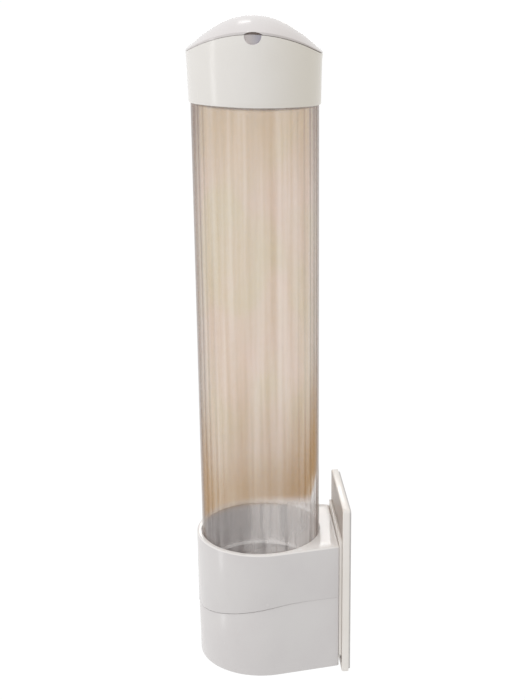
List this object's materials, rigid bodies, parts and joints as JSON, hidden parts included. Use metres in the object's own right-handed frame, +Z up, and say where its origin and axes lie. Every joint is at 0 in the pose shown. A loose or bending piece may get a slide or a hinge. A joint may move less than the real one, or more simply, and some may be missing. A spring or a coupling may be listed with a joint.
{
  "type": "paper cup dispenser",
  "caption": "Wall-held paper cup dispenser: a clear fluted tube in a white housing with sprung release pawls, under a turning collar with a domed hinged lid.",
  "frame": {"origin": "centre of the face that sticks to the wall, at the back of the wall plate's foam pad", "axes": "+Z up along the cup tube, +Y into the wall, +X to the object's left-hand side as it hangs on the wall"},
  "size_m": [0.1004, 0.1122, 0.4815],
  "materials": {
    "white_plastic": "glossy moulded white",
    "cap_plastic": "glossy moulded warm white",
    "clear_plastic": "clear, fluted, faintly warm",
    "inner_plastic": "satin off-white",
    "steel": "plain zinc-plated steel",
    "foam": "matt closed-cell foam tape"
  },
  "bodies": {
    "wall_mount": {"wall_plate": "white_plastic", "adhesive_pad": "foam"},
    "dispenser": {"upper_housing": "white_plastic", "lower_housing": "white_plastic", "hanger_plate": "white_plastic", "clear_tube": "clear_plastic", "pawl_carrier": "inner_plastic", "hanger_screw_1": "steel", "hanger_screw_2": "steel", "hanger_screw_3": "steel", "hanger_screw_4": "steel", "carrier_screw_1": "steel", "carrier_screw_2": "steel", "carrier_screw_3": "steel", "carrier_screw_4": "steel", "pawl_pin_1": "steel", "pawl_pin_2": "steel", "pawl_pin_3": "steel", "pawl_pin_4": "steel", "pawl_spring_1": "steel", "pawl_spring_2": "steel", "pawl_spring_3": "steel", "pawl_spring_4": "steel"},
    "cap": {"collar": "cap_plastic", "lid_hinge_pin": "steel"},
    "lid": {"lid": "cap_plastic"},
    "pawl_1": {"release_pawl_1": "inner_plastic"},
    "pawl_2": {"release_pawl_2": "inner_plastic"},
    "pawl_3": {"release_pawl_3": "inner_plastic"},
    "pawl_4": {"release_pawl_4": "inner_plastic"}
  },
  "joints": [
    {"name": "dispenser_lift", "type": "slide", "parent": "wall_mount", "child": "dispenser", "axis": [0, 0, 1], "range_m": [0, 0.0065]},
    {"name": "cap_turn", "type": "hinge", "parent": "dispenser", "child": "cap", "pos_m": [0, -0.0641, 0.38215], "axis": [0, 0, 1], "continuous": true},
    {"name": "lid_hinge", "type": "hinge", "parent": "cap", "child": "lid", "pos_m": [-0.04928, -0.06065, 0.40455], "axis": [-0.0698, -0.9976, 0], "range_deg": [0, 110]},
    {"name": "pawl_1_swing", "type": "hinge", "parent": "dispenser", "child": "pawl_1", "pos_m": [0.04108, -0.0641, -0.04765], "axis": [0, -1, 0], "range_deg": [0, 52], "stiffness_Nm_per_rad": 0.006, "springref_deg": -20.05, "deforming": ["pawl_spring_1"]},
    {"name": "pawl_2_swing", "type": "hinge", "parent": "dispenser", "child": "pawl_2", "pos_m": [0, -0.02302, -0.04765], "axis": [1, 0, 0], "range_deg": [0, 52], "stiffness_Nm_per_rad": 0.006, "springref_deg": -20.05, "deforming": ["pawl_spring_2"]},
    {"name": "pawl_3_swing", "type": "hinge", "parent": "dispenser", "child": "pawl_3", "pos_m": [-0.04108, -0.0641, -0.04765], "axis": [0, 1, 0], "range_deg": [0, 52], "stiffness_Nm_per_rad": 0.006, "springref_deg": -20.05, "deforming": ["pawl_spring_3"]},
    {"name": "pawl_4_swing", "type": "hinge", "parent": "dispenser", "child": "pawl_4", "pos_m": [0, -0.10518, -0.04765], "axis": [-1, 0, 0], "range_deg": [0, 52], "stiffness_Nm_per_rad": 0.006, "springref_deg": -20.05, "deforming": ["pawl_spring_4"]}
  ]
}
